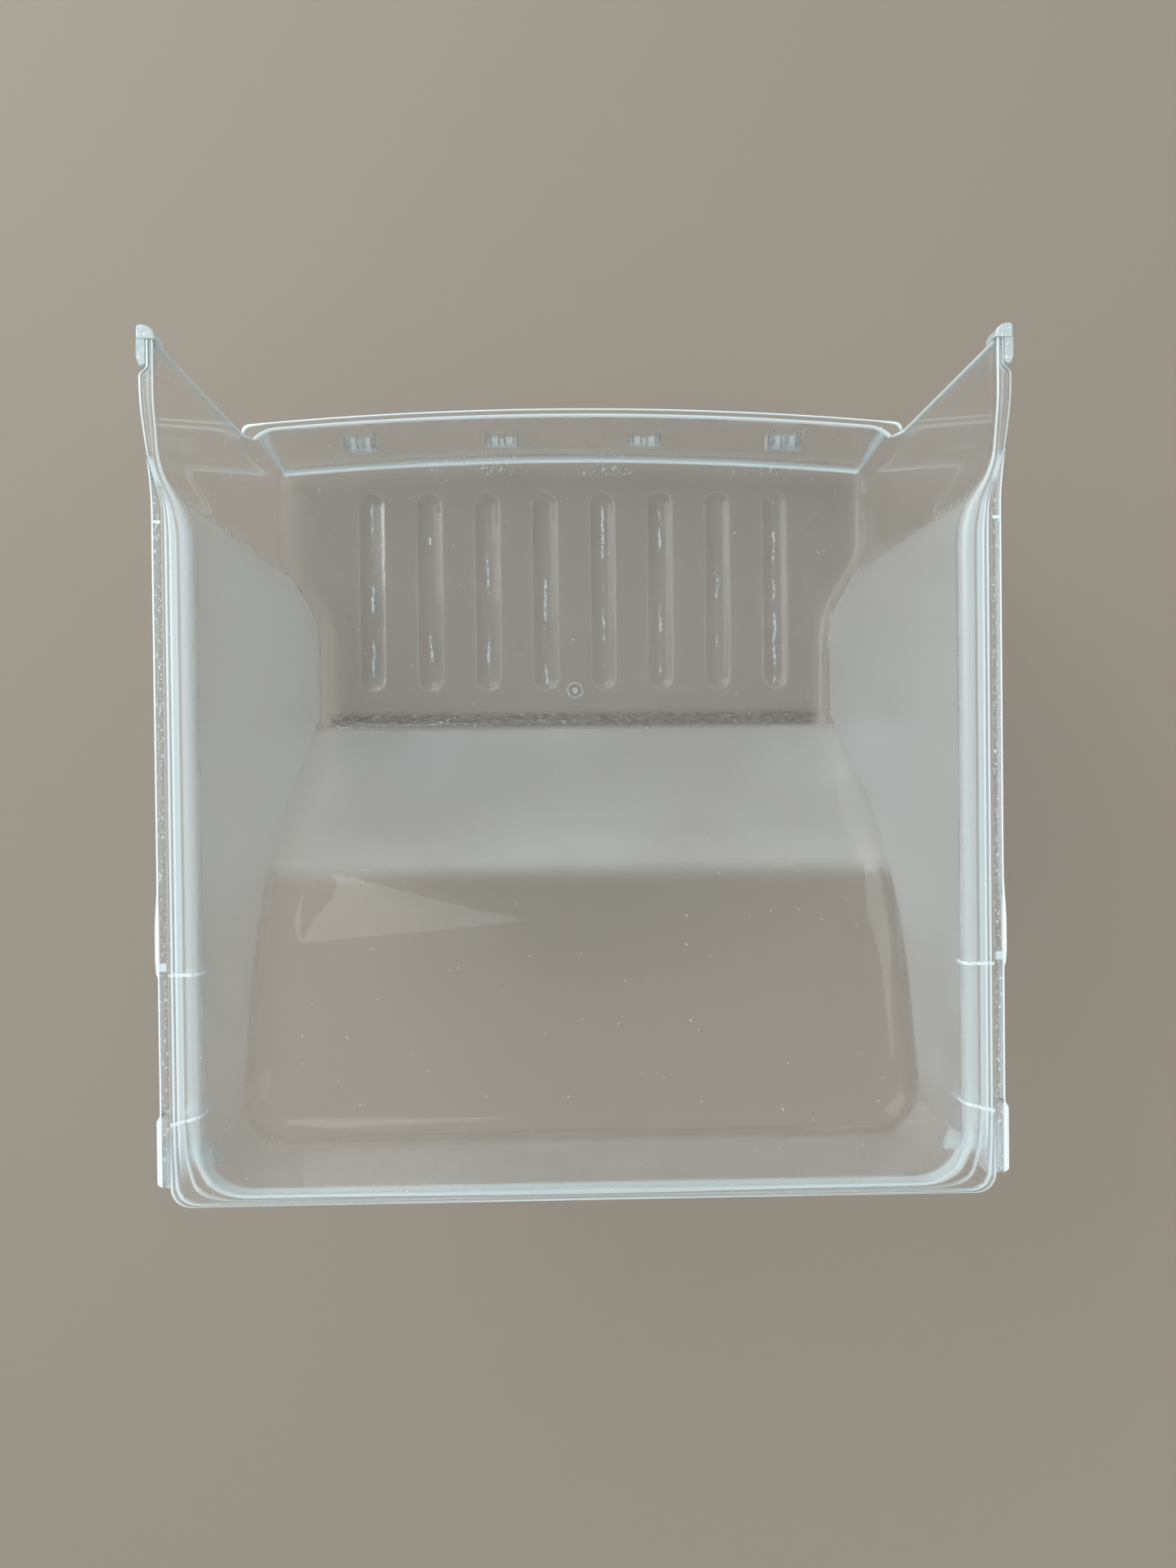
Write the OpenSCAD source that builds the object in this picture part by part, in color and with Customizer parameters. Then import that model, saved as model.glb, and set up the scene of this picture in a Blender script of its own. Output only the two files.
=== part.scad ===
// Clear fridge bin with a stepped floor, side rails and two rear rollers.
// Millimetres. +Z is up, the open front faces -Y, and X is the width.
// The origin is under the middle of the bin, on the plane its floor ribs stand on.

/* [Overall size] */
// Width over the two front catches
overall_w = 480; // [470:1:490]
// Height of the rear rim and of the rails above the origin
rim_z = 281; // [275:1:290]
// Height of the raised front end of the rails
wing_z = 296; // [292:1:300]

/* [Walls] */
// Thickness of the moulded walls and floors
wall_t = 2.5; // [2:0.1:3]
// Outward lean of the side walls behind the step, in degrees
side_draft = 3.25; // [2.5:0.25:4]
// Outward lean of the rear wall, in degrees
rear_draft = 3.9; // [3:0.1:4.5]
// Inner radius of the upright rear corners
corner_r = 26; // [20:1:30]

/* [Floor] */
// Height of the inside of the front floor
floor_z = 6; // [5:0.5:8]
// Half of the inside width of the floor behind the step
floor_half_w = 200; // [195:1:202]
// Half of the inside width of the front bay
front_half_w = 230; // [228:0.5:230]
// Where the front floor ends and the slope starts
slope_foot_y = -29; // [-35:1:-25]
// Front edge of the raised rear floor
ridge_y = 81; // [75:1:85]
// Height of the raised rear floor at its front edge
ridge_z = 153; // [145:1:158]
// Back edge of the raised rear floor
rear_foot_y = 237; // [235:1:238]
// Height of the raised rear floor at its back edge
rear_foot_z = 192; // [185:1:196]

/* [Floor ribs] */
// Number of long ribs under the front floor
rib_count = 8; // [4:1:9]
// Distance between two ribs
rib_pitch = 45.5; // [44:0.5:46]
// Width of a rib
rib_w = 22; // [18:1:24]
// Front end of the ribs
rib_front_y = -215; // [-220:1:-205]
// Back end of the ribs
rib_back_y = -57; // [-60:1:-50]

/* [Front] */
// Height of the top edge of the front lip
lip_z = 106; // [100:1:112]
// Inside face of the lip at its middle, at floor height
lip_y = -240; // [-241:0.5:-239]
// How far the lip leans forward over its height
lip_lean = 3.6; // [3:0.2:4]
// Width of the flange along the top of the lip
lip_flange_w = 5.8; // [5:0.2:6.4]
// Front edge of the side wings
wing_front_y = -229; // [-230:0.5:-228]
// Front end of the rails
rail_front_y = -236; // [-237:0.5:-235]

/* [Rails] */
// Outer edge of the rails from the middle of the bin
rail_x = 238; // [237.6:0.1:238.4]
// Thickness of the rail plates
rail_t = 2.2; // [2:0.1:2.4]
// Outer face of the rim skirt
skirt_x = 233; // [232.8:0.1:233.2]
// Height of the rim skirt
skirt_h = 8; // [6:0.5:9]

/* [Rollers] */
// Diameter of a roller
roller_d = 38; // [36:1:39]
// Width of a roller at its rim
roller_w = 5; // [4.8:0.1:5.1]
// Roller axle, front to back
roller_y = 226; // [225:0.5:227]
// Height of the roller axle
roller_z = 258; // [257:0.5:259]
// Diameter of the axle stub
axle_d = 6; // [5:0.5:6]

/* [Hidden] */

$fn = 96;
clear_plastic = [0.80, 0.90, 0.90, 0.6];
white_plastic = [0.95, 0.96, 0.97];
far = 600;                              // larger than the bin in every direction

under_z = floor_z - wall_t;             // underside of the front floor
rib_groove_w = rib_w - 2 * wall_t;
half_w = overall_w / 2;

// Plan of the step in the side walls, where the front bay narrows to the rear bay
step_y = -160;
step_angle = 32.6;
side_split_y = -90;                     // wings end here and the side walls begin
rim_split_y = 212;                      // side walls end here and the rear wall begins

// The rails are level at the wings, run down, and are level again behind the step
wing_level_end_y = -200;
rail_level_start_y = -145;

// Rear wall leaning out from the back edge of the rear floor
rear_rim_y = rear_foot_y + (rim_z - rear_foot_z) * tan(rear_draft);
rim_back_y = 249.4;                     // back edge of the whole bin
rim_corner_r = 12;
skirt_t = 2;
edge_front_y = -202;                    // the folded edge of the rail starts behind the catch

// Plan curve of the lip, the same across the whole width
lip_sag = 10.4;
lip_arc_r = (pow(front_half_w, 2) + pow(lip_sag, 2)) / (2 * lip_sag);
lip_centre_y = lip_y + lip_arc_r;

// Clips on the front of the lip that hold a front panel: an open frame round two hooks
clip_xs = [-161, -54, 54, 161];
clip_w = 25.5;
clip_h = 29;
clip_foot_z = 32;
clip_bar = 2;
clip_depth = 2.6;
hook_w = 8;
hook_h = 16;
hook_gap = 3;
hook_bar = 1.5;

// Rollers and their housings
axle_r = axle_d / 2;
bore_r = axle_r + 0.08;                 // running clearance
roller_x = skirt_x + 0.5;               // inner face of a roller
hub_w = 3.8;
hub_r = 6.5;
boss_r = 6;
cover_x = half_w;                       // outer face of the roller cover
cover_t = 1.2;
cover_front_y = 199;
cover_back_y = 238.5;
cover_drop = 12;

// Side profile of the inside, from the lip to the rear rim, as [y, z]
inner_path = [[-far, floor_z], [slope_foot_y, floor_z], [ridge_y, ridge_z],
              [rear_foot_y, rear_foot_z], [rear_rim_y, rim_z]];
// The same profile, one wall thickness further out
outer_path = offset_path(inner_path, wall_t);
// Top of the rails, as [y, z]
rail_path = [[rail_front_y, wing_z], [wing_level_end_y, wing_z],
             [rail_level_start_y, rim_z], [far, rim_z]];

function outward(a, b) = [b[1] - a[1], a[0] - b[0]] / norm(b - a);
function corner_shift(n, m) = (n + m) / (1 + n * m);
function offset_path(path, t) = [
    for (i = [0 : len(path) - 1])
        let (before = outward(path[max(i, 1) - 1], path[max(i, 1)]),
             after = outward(path[min(i, len(path) - 2)], path[min(i, len(path) - 2) + 1]))
        path[i] + t * corner_shift(before, after)];

// A shape drawn on the side profile and run across the whole width
module across(points, width = far) {
    rotate([90, 0, 90]) linear_extrude(width, center = true) polygon(points);
}

// One stretch of the floor or rear wall, between two points of the profile
module profile_band(i) {
    across([inner_path[i], inner_path[i + 1], outer_path[i + 1], outer_path[i]]);
}

// Everything between the outside of the floors and the underside of the rails
module between_floor_and_rails() {
    across(concat([[-far, under_z]], [for (i = [1 : 3]) outer_path[i]],
                  [outer_path[4] + [20, 0], [far, rim_z - rail_t]],
                  [for (i = [2 : -1 : 0]) rail_path[i] - [0, rail_t]],
                  [[-far, wing_z - rail_t]]));
}

// Space inside the drafted rear bay, or inside its walls when grow is a wall thickness
module rear_bay(grow) {
    tilt_x = -atan(tan(rear_draft) * cos(side_draft));
    corner_x = floor_half_w - corner_r;
    corner_y = rear_foot_y - corner_r + (floor_z - rear_foot_z) * tan(rear_draft);
    difference() {
        intersection_for (s = [-1, 1])
            translate([s * (floor_half_w + grow), 0, floor_z])
                rotate([0, s * side_draft, 0])
                    translate([-far / 2 - s * far / 2, -far / 2, -far / 2])
                        cube(far);
        translate([0, rear_foot_y + grow, rear_foot_z]) rotate([-rear_draft, 0, 0])
            translate([-far, 0, -far]) cube([2 * far, far, 2 * far]);
        for (s = [-1, 1])
            translate([s * corner_x, corner_y, floor_z]) rotate([tilt_x, s * side_draft, 0])
                difference() {
                    translate([s > 0 ? 0 : -far / 2, 0, -far]) cube([far / 2, far / 2, 2 * far]);
                    cylinder(r = corner_r + grow, h = 3 * far, center = true);
                }
    }
}

// Half space inside the slanted step of one side
module inside_step(side, grow) {
    translate([side * (front_half_w + grow), step_y + grow * tan(step_angle / 2), 0])
        rotate([0, 0, side * step_angle])
            translate([-far / 2 - side * far / 2, -far / 2, -far / 2])
                cube(far);
}

// Space inside the wide front bay, up to the slanted steps
module front_bay(grow) {
    bay_half_w = front_half_w + grow;
    intersection() {
        translate([-bay_half_w, -far / 2, -far / 2]) cube([2 * bay_half_w, far / 2, far]);
        inside_step(1, grow);
        inside_step(-1, grow);
    }
}

// Both bays together
module tub(grow) {
    rear_bay(grow);
    front_bay(grow);
}

// The side walls and the rear wall as one ring, before it is split
module wall_ring() {
    intersection() {
        difference() {
            tub(wall_t);
            tub(0);
        }
        between_floor_and_rails();
    }
}

// Half of space on one side of the bin, between two y values
module side_slab(side, y_from, y_to) {
    translate([side > 0 ? 0 : -far / 2, y_from, -far / 2])
        cube([far / 2, y_to - y_from, far]);
}

// A bar with round ends in plan, from one y to another
module rib_bar(width, y_from, y_to, height) {
    linear_extrude(height) {
        translate([-width / 2, y_from + width / 2])
            square([width, y_to - y_from - width]);
        for (y = [y_from + width / 2, y_to - width / 2])
            translate([0, y]) circle(d = width);
    }
}

// Places its children under each floor rib
module at_ribs() {
    for (i = [0 : rib_count - 1])
        translate([(i - (rib_count - 1) / 2) * rib_pitch, 0, 0]) children();
}

// Space in front of the inside face of the lip, moved forward by ahead
module lip_cone(ahead) {
    translate([0, lip_centre_y, floor_z])
        cylinder(r1 = lip_arc_r + ahead, r2 = lip_arc_r + ahead + lip_lean,
                 h = lip_z - floor_z, $fn = 720);
}

module lip_disc(ahead, z_from, z_to) {
    translate([0, lip_centre_y, z_from])
        cylinder(r = lip_arc_r + ahead, h = z_to - z_from, $fn = 720);
}

module front_floor() {
    color(clear_plastic) difference() {
        union() {
            intersection() {
                profile_band(0);
                tub(0);
                lip_disc(0, under_z - 1, floor_z + 1);
            }
            at_ribs() rib_bar(rib_w, rib_front_y, rib_back_y, under_z);
        }
        at_ribs() translate([0, 0, wall_t])
            rib_bar(rib_groove_w, rib_front_y + wall_t, rib_back_y - wall_t, floor_z);
    }
}

module step_slope() {
    color(clear_plastic) intersection() {
        profile_band(1);
        rear_bay(0);
    }
}

module rear_floor() {
    color(clear_plastic) intersection() {
        profile_band(2);
        rear_bay(0);
    }
}

module rear_wall() {
    color(clear_plastic) intersection() {
        wall_ring();
        translate([-far / 2, rim_split_y, -far / 2]) cube(far);
    }
}

module side_wall(side) {
    color(clear_plastic) intersection() {
        wall_ring();
        side_slab(side, side_split_y, rim_split_y);
    }
}

module wing(side) {
    color(clear_plastic) intersection() {
        wall_ring();
        side_slab(side, wing_front_y, side_split_y);
    }
}

// Curved sheet of the lip, from the floor up to its top edge
module lip_sheet() {
    difference() {
        union() {
            lip_disc(wall_t, under_z, floor_z);
            lip_cone(wall_t);
        }
        lip_disc(0, under_z - 1, floor_z);
        lip_cone(0);
    }
}

module front_lip() {
    outer_x = front_half_w + wall_t;
    flange_half_w = front_half_w + 4;
    color(clear_plastic) difference() {
        union() {
            intersection() {
                lip_sheet();
                translate([-outer_x, -far, 0]) cube([2 * outer_x, far, far]);
            }
            intersection() {
                difference() {
                    lip_disc(lip_lean + lip_flange_w, lip_z - rail_t, lip_z);
                    lip_disc(lip_lean + wall_t - 0.5, lip_z - rail_t - 1, lip_z + 1);
                }
                translate([-flange_half_w, -far, 0]) cube([2 * flange_half_w, far, far]);
            }
        }
        for (s = [-1, 1])
            translate([s * (front_half_w + far / 2) - far / 2, wing_front_y, -1]) cube(far);
    }
}

// A frame in the plane of the lip that is open at the top
module open_frame(width, height, bar) {
    difference() {
        translate([-width / 2, 0]) square([width, height]);
        translate([-width / 2 + bar, bar]) square([width - 2 * bar, height]);
    }
}

// Frames on the front of the lip, each round two smaller ones, where a front panel clips on
module panel_clips() {
    hook_lift = (clip_h - hook_h) / 2 - 1.5;
    color(clear_plastic) difference() {
        for (x = clip_xs)
            translate([x, lip_y, clip_foot_z])
                rotate([90, 0, 0])
                    linear_extrude(wall_t + clip_depth + lip_lean) {
                        open_frame(clip_w, clip_h, clip_bar);
                        for (s = [-1, 1])
                            translate([s * (hook_gap + hook_w) / 2, hook_lift])
                                open_frame(hook_w, hook_h, hook_bar);
                    }
        lip_cone(wall_t);
    }
}

// Small raised ring left by the moulding gate, at the back of the floor ribs
module gate_mark() {
    color(clear_plastic) translate([0, rib_back_y, floor_z]) {
        difference() {
            cylinder(d = 13, h = 0.8);
            translate([0, 0, -1]) cylinder(d = 10.5, h = 3);
        }
        cylinder(d = 4.6, h = 1.6);
    }
}

// Flat plan of the rim behind the side walls, smaller all round by inset
module rim_plan(inset) {
    front_y = rim_split_y - inset;
    side_x = skirt_x - inset;
    translate([-side_x, front_y])
        square([2 * side_x, rim_back_y - rim_corner_r - front_y]);
    translate([-skirt_x + rim_corner_r, front_y])
        square([2 * (skirt_x - rim_corner_r), rim_back_y - inset - front_y]);
    for (s = [-1, 1])
        translate([s * (skirt_x - rim_corner_r), rim_back_y - rim_corner_r])
            circle(r = rim_corner_r - inset);
}

module rear_rim() {
    color(clear_plastic) difference() {
        union() {
            translate([0, 0, rim_z - rail_t]) linear_extrude(rail_t) rim_plan(0);
            translate([0, 0, rim_z - skirt_h]) linear_extrude(skirt_h) difference() {
                rim_plan(0);
                rim_plan(skirt_t);
            }
        }
        rear_bay(0);
    }
}

// A strip of the given depth under the line of the rail top, on one side of the bin
module rail_strip(side, depth, x_from, x_to, y_from, y_to) {
    intersection() {
        across(concat(rail_path, [for (i = [3 : -1 : 0]) rail_path[i] - [0, depth]]));
        translate([side > 0 ? x_from : -x_to, y_from, 0])
            cube([x_to - x_from, y_to - y_from, far]);
    }
}

// The rail plate that follows the wall top, with its outer edge, the rim skirt and the roller cover
module rail(side) {
    plate_inner_x = floor_half_w;
    color(clear_plastic) {
        difference() {
            rail_strip(side, rail_t, plate_inner_x, rail_x, rail_front_y, rim_split_y);
            tub(0);
        }
        rail_strip(side, skirt_h - 2, rail_x - cover_t, rail_x, edge_front_y, cover_front_y);
        rail_strip(side, skirt_h, skirt_x - skirt_t, skirt_x, rail_level_start_y, rim_split_y);
        rail_strip(side, rail_t, skirt_x, cover_x, cover_front_y, cover_back_y);
        rail_strip(side, cover_drop, cover_x - cover_t, cover_x, cover_front_y, cover_back_y);
    }
}

// Wedge on the edge of the rail that stops the bin when it is pulled out
module rail_stop(side) {
    stop_from = 72;
    stop_to = 119;
    color(clear_plastic) translate([side * rail_x, 0, rim_z - skirt_h + 2])
        linear_extrude(skirt_h - 2)
            polygon([[0, stop_from], [side * 1.6, stop_from + 30], [side * 1.6, stop_to - 6],
                     [0, stop_to]]);
}

// Hooked block under the front end of the rail
module catch_block(side) {
    block_front = rail_front_y + 8;
    block_back = rail_front_y + 27;
    color(clear_plastic) intersection() {
        union() {
            translate([0, 0, wing_z - 16]) linear_extrude(16 - rail_t)
                polygon([[side * 233.5, block_front], [side * rail_x, block_front],
                         [side * rail_x, block_back + 3], [side * 233.5, block_back]]);
            translate([0, 0, wing_z - 16]) linear_extrude(16)
                polygon([[side * rail_x, rail_front_y + 1], [side * half_w, rail_front_y + 1],
                         [side * half_w, block_back - 4], [side * rail_x, block_back]]);
        }
        translate([-half_w, -far, 0]) cube([2 * half_w, 2 * far, far]);
    }
}

// Upright plates between the wall and the rim, two of them around the roller
module gussets(side) {
    color(clear_plastic) difference() {
        for (plate = [[119, 20, 2], [cover_front_y - 1, 24, 2.4]])
            translate([side > 0 ? floor_half_w : -skirt_x + 2, plate[0], rim_z - rail_t - plate[1]])
                cube([skirt_x - 2 - floor_half_w, plate[2], plate[1]]);
        rear_bay(wall_t);
        for (y = [119, cover_front_y - 1])
            translate([side * (skirt_x + 2), y - 1, rim_z - rail_t - 28])
                rotate([0, -side * 35, 0])
                    translate([side > 0 ? 0 : -40, 0, -40]) cube([40, 5, 80]);
    }
}

// Stub moulded on the wall: a thick boss, the pin that carries the roller, and its snap head
module axle(side) {
    head_from = roller_x + hub_w + 0.25;
    color(clear_plastic) difference() {
        translate([0, roller_y, roller_z]) rotate([0, side * 90, 0]) {
            translate([0, 0, floor_half_w]) cylinder(r = boss_r, h = roller_x - 0.4 - floor_half_w);
            translate([0, 0, floor_half_w]) cylinder(r = axle_r, h = head_from + 0.9 - floor_half_w);
            translate([0, 0, head_from]) cylinder(r1 = axle_r + 0.9, r2 = axle_r + 0.3, h = 0.9);
        }
        rear_bay(wall_t);
    }
}

// Roller with a hub, a thin web and a rounded tread
module roller(side) {
    tread_r = roller_d / 2;
    rim_in_r = tread_r - 2.6;
    color(white_plastic) translate([side * roller_x, roller_y, roller_z])
        rotate([0, side * 90, 0]) rotate_extrude($fn = 128)
            polygon([[bore_r, 0], [hub_r, 0], [hub_r, 1.2], [rim_in_r, 1.2], [rim_in_r, 0],
                     [tread_r - 0.7, 0], [tread_r, 0.8], [tread_r, roller_w - 0.8],
                     [tread_r - 0.7, roller_w], [rim_in_r, roller_w], [rim_in_r, 3],
                     [hub_r, 3], [hub_r, hub_w], [bore_r, hub_w]]);
}

module left_side_wall() { side_wall(-1); }
module right_side_wall() { side_wall(1); }
module left_wing() { wing(-1); }
module right_wing() { wing(1); }
module left_rail() { rail(-1); }
module right_rail() { rail(1); }
module left_stop() { rail_stop(-1); }
module right_stop() { rail_stop(1); }
module left_catch() { catch_block(-1); }
module right_catch() { catch_block(1); }
module left_gussets() { gussets(-1); }
module right_gussets() { gussets(1); }
module left_axle() { axle(-1); }
module right_axle() { axle(1); }
module left_roller() { roller(-1); }
module right_roller() { roller(1); }

front_floor();
step_slope();
rear_floor();
rear_wall();
left_side_wall();
right_side_wall();
left_wing();
right_wing();
front_lip();
panel_clips();
gate_mark();
rear_rim();
left_rail();
right_rail();
left_stop();
right_stop();
left_catch();
right_catch();
left_gussets();
right_gussets();
left_axle();
right_axle();
left_roller();
right_roller();
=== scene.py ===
"""Looks of the clear fridge bin: one smooth moulding, its rails, tip caps and small trim.

Lengths are millimetres until a mesh is made, and metres after that.
The bin's frame has +Z up, its open front faces -Y, and X is its width.
"""

import math

import bmesh
import bpy
import numpy as np
from mathutils import Matrix, Vector


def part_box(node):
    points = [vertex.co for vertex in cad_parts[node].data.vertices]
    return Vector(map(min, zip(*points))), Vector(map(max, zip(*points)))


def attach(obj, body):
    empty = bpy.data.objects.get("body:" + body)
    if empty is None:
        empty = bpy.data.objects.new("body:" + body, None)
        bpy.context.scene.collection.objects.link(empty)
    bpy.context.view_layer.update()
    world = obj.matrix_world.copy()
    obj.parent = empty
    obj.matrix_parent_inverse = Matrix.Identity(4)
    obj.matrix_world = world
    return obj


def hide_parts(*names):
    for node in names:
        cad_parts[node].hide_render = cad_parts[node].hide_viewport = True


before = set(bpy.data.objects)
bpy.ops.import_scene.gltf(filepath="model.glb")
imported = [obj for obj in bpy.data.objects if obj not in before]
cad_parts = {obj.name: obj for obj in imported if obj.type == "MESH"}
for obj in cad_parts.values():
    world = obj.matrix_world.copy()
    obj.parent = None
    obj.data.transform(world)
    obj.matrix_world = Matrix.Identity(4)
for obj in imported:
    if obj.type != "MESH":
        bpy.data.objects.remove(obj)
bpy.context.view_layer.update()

MM = 0.001


def high_corner_mm(node):
    """Highest corner of a CAD node's box, in millimetres."""
    return np.array(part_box(node)[1]) / MM


# ---------------------------------------------------------------- driving sizes
floor_high = high_corner_mm("front_floor")
rim_high = high_corner_mm("rear_rim")
rail_high = high_corner_mm("left_rail")

WALL = 2.5                              # thickness of the moulding
FLOOR_Z = 6.0
RIM_Z = rim_high[2]
WING_Z = rail_high[2]
FRONT_HALF_W = floor_high[0]
REAR_HALF_W = 200.0                     # at floor height; the side walls lean out above it
SIDE_DRAFT = math.tan(math.radians(3.25))
REAR_DRAFT = math.tan(math.radians(3.9))
STEP_Y = -160.0                         # where the side walls start to step in
STEP_SLOPE = math.tan(math.radians(32.6))

SLOPE_FOOT_Y = -29.0
RIDGE_Y, RIDGE_Z = 81.0, 153.0
REAR_FOOT_Y, REAR_FOOT_Z = 237.0, 192.0

LIP_Y = -240.0                          # inside of the lip at its middle, at floor height
LIP_Z = 106.0
LIP_LEAN = 3.6
LIP_SAG = 10.4
LIP_R = (FRONT_HALF_W ** 2 + LIP_SAG ** 2) / (2 * LIP_SAG)
LIP_FLANGE_W = 5.8
LIP_FLANGE_HALF_W = 234.0
LIP_BEND_R = 2.0
WING_FRONT_Y = -229.0

RAIL_X = 237.9                          # outer edge of the rails
WING_RAIL_X = 239.0                     # the same at the wings, behind the hook
HOOK_INNER_X = 235.2
HOOK_END_Y = -215.0
SKIRT_X = 233.0                         # outer edge of the rim behind the step
RIM_BACK_Y = rim_high[1]
RIM_CORNER_R = 12.0
LEDGE_EDGE_R = 1.3
STRIP_END_Y = 238.0
COVER_Y = 197.0                         # where the cover over the roller starts
WING_DROP_Y, WING_DROP_LENGTH = -202.0, 62.0        # the top edge comes down from wing to rim
LEDGE_STEP_Y, LEDGE_STEP_LENGTH = -172.0, 34.0      # the ledge widens behind the wings
REAR_TURN_Y = 200.0                     # from here the side columns bend round to the rear wall
SIDE_REACH_X = 240.0                    # outermost point of the tips and hooks
TIP_FRONT_Y = -237.6
TIP_DEPTH = 15.0                        # height of the tips and hooks

RIB_COUNT, RIB_PITCH = 8, 45.6
RIB_FRONT_Y, RIB_BACK_Y = -215.0, -57.0
RIB_HALF_W = 10.6
RIB_FLAT_HALF_W = 3.5
RIB_DEPTH = 3.4

# Inner radii where two surfaces meet
REAR_CORNER_R = 26.0
VALLEY_R = 5.0
RIDGE_R = 34.0


# ---------------------------------------------------------------- small maths
def smooth(t):
    t = np.clip(t, 0.0, 1.0)
    return t * t * (3 - 2 * t)


def mix(a, b, t):
    return a + (b - a) * t


def blend_min(a, b, k):
    h = np.maximum(k - np.abs(a - b), 0.0) / k
    return np.minimum(a, b) - h * h * k / 4


def blend_max(a, b, k):
    return -blend_min(-a, -b, k)


def round_min(a, b, r):
    """Distance inside two faces that meet in a fillet of radius r."""
    r = np.maximum(r, 1e-6)
    in_fillet = (a < r) & (b < r)
    return np.where(in_fillet, r - np.hypot(np.minimum(a - r, 0), np.minimum(b - r, 0)),
                    np.minimum(a, b))


def graded(points, steps):
    """Values that run through points, with the given number of steps between neighbours."""
    parts = [np.linspace(a, b, n, endpoint=False)
             for a, b, n in zip(points, points[1:], steps)]
    return np.concatenate(parts + [[points[-1]]])


# ---------------------------------------------------------------- shape of the inside
def half_width(y, z):
    rear = REAR_HALF_W + (z - FLOOR_Z) * SIDE_DRAFT
    step = FRONT_HALF_W - (y - STEP_Y) * STEP_SLOPE
    return blend_max(blend_min(step, FRONT_HALF_W, 7.0), rear, 10.0)


def rear_y(z):
    return REAR_FOOT_Y + (z - REAR_FOOT_Z) * REAR_DRAFT


def lip_radius(z):
    return LIP_R + LIP_LEAN * (z - FLOOR_Z) / (LIP_Z - FLOOR_Z)


def lip_y(x, z):
    return LIP_Y + LIP_R - np.sqrt(lip_radius(z) ** 2 - x ** 2)


def rail_z(y):
    return RIM_Z + (WING_Z - RIM_Z) * (1 - smooth((y - WING_DROP_Y) / WING_DROP_LENGTH))


def floor_profile(y):
    slope = FLOOR_Z + (y - SLOPE_FOOT_Y) * (RIDGE_Z - FLOOR_Z) / (RIDGE_Y - SLOPE_FOOT_Y)
    rear = RIDGE_Z + (y - RIDGE_Y) * (REAR_FOOT_Z - RIDGE_Z) / (REAR_FOOT_Y - RIDGE_Y)
    return np.maximum(FLOOR_Z, np.minimum(slope, rear))


def floor_distance(y, z):
    slope_a = math.atan2(RIDGE_Z - FLOOR_Z, RIDGE_Y - SLOPE_FOOT_Y)
    rear_a = math.atan2(REAR_FOOT_Z - RIDGE_Z, REAR_FOOT_Y - RIDGE_Y)
    flat = z - FLOOR_Z
    slope = (z - FLOOR_Z) * math.cos(slope_a) - (y - SLOPE_FOOT_Y) * math.sin(slope_a)
    rear = (z - RIDGE_Z) * math.cos(rear_a) - (y - RIDGE_Y) * math.sin(rear_a)
    return round_min(flat, -round_min(-slope, -rear, RIDGE_R), VALLEY_R)


def foot_radius(y):
    """Radius between the walls and the floors: small in front, larger behind the slope."""
    r = mix(6.0, 10.0, smooth((y + 238) / 25))
    r = mix(r, 21.0, smooth((y + 70) / 140))
    return mix(r, 14.0, smooth((y - 195) / 32))


def front_corner_radius(z):
    """The corners between the lip and the wings open up towards the lip's top."""
    r = mix(8.0, 20.0, smooth((z - FLOOR_Z) / (LIP_Z - FLOOR_Z)))
    return r * (1 - smooth((z - LIP_Z) / 22))


def inside(p):
    """How far the points p are inside the bin, 0 on its inner surface."""
    x, y, z = p[..., 0], p[..., 1], p[..., 2]
    side = (half_width(y, z) - np.abs(x)) * 0.97
    back = (rear_y(z) - y) * math.cos(math.atan(REAR_DRAFT))
    walls = round_min(side, back, REAR_CORNER_R)
    lip = lip_radius(z) - np.hypot(x, y - LIP_Y - LIP_R)
    walls = round_min(walls, lip, front_corner_radius(z))
    return round_min(walls, floor_distance(y, z), foot_radius(y))


def onto_surface(p, rounds=7):
    """Moves the points p on to the inner surface, so that sharp corners become fillets."""
    h = 0.02
    for _ in range(rounds):
        d = inside(p)
        slope = np.stack([(inside(p + h * e) - inside(p - h * e)) / (2 * h)
                          for e in np.eye(3)], axis=-1)
        length2 = np.maximum((slope ** 2).sum(-1), 0.05)
        p = p - (d / length2)[..., None] * slope
    return p


# ---------------------------------------------------------------- rows and columns of the mesh
RIB_CENTRES = (np.arange(RIB_COUNT) - (RIB_COUNT - 1) / 2) * RIB_PITCH
RIB_OFFSETS = np.array([-12.5, -11, -9.7, -8.4, -6.6, -4, 0, 4, 6.6, 8.4, 9.7, 11, 12.5, 22.8])
INNER_X = RIB_CENTRES[-1] + 18.0        # columns are fixed inside this and stretch outside it
fixed_x = np.concatenate([c + RIB_OFFSETS for c in RIB_CENTRES])
fixed_x = np.concatenate([[-INNER_X], fixed_x[fixed_x < INNER_X], [INNER_X]])
side_share = 1 - (1 - np.linspace(0, 1, 15)[1:]) ** 1.7

FOOT_ROWS = 22                          # rows of a side wall that the lip shares
lip_share = (LIP_Z - LIP_BEND_R - FLOOR_Z) / (WING_Z - 1.6 - FLOOR_Z)
wall_share = np.concatenate([
    lip_share * np.linspace(0, 1, FOOT_ROWS + 1) ** 2.0,
    graded([lip_share, 0.45, 0.93, 1.0], [6, 6, 4])[1:]])

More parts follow.
